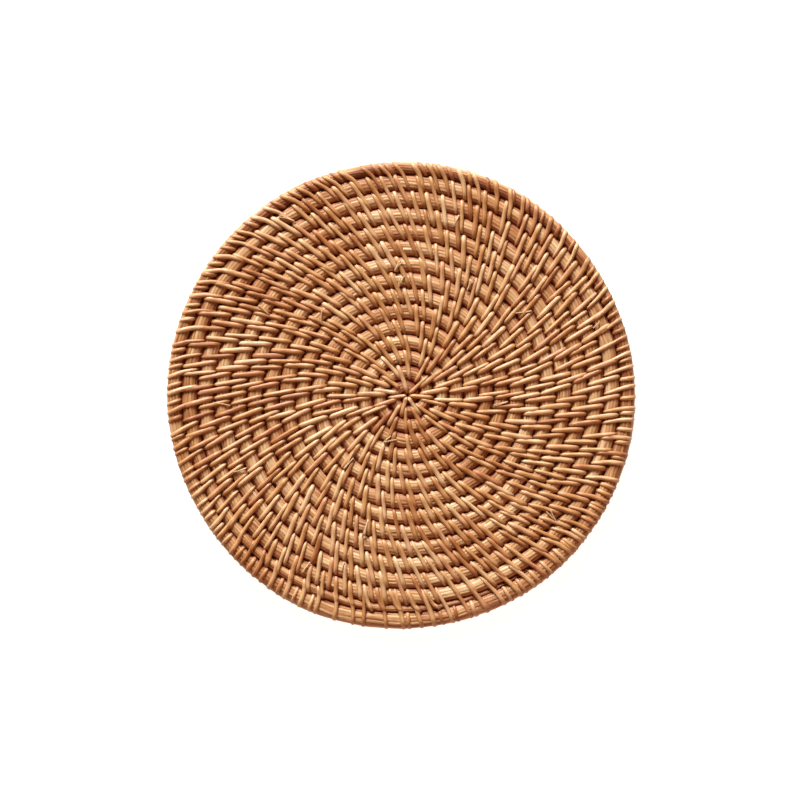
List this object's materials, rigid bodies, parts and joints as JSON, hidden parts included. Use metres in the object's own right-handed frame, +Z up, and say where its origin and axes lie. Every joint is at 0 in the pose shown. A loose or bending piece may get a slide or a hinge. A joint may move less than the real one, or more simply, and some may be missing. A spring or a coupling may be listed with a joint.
{
  "type": "round coiled wicker placemat",
  "caption": "Flat round placemat of splint bundles wound in a spiral, sewn turn to turn with split cane and closed by a rim hoop.",
  "frame": {"origin": "under the middle of the outline, on the surface that the mat lies on", "axes": "+Z up through the mat's thickness, +Y towards the top of the mat as it is seen from above, +X to the right"},
  "size_m": [0.3004, 0.2994, 0.009],
  "materials": {
    "core": "bundled splints, dry and matt, honey to reddish brown",
    "hoop": "bundled splints under close binding, a darker honey brown",
    "cane": "split cane with its smooth outer skin, satin, cream to honey"
  },
  "bodies": {
    "root": {"coil": "core", "rim_hoop": "hoop"}
  },
  "joints": []
}
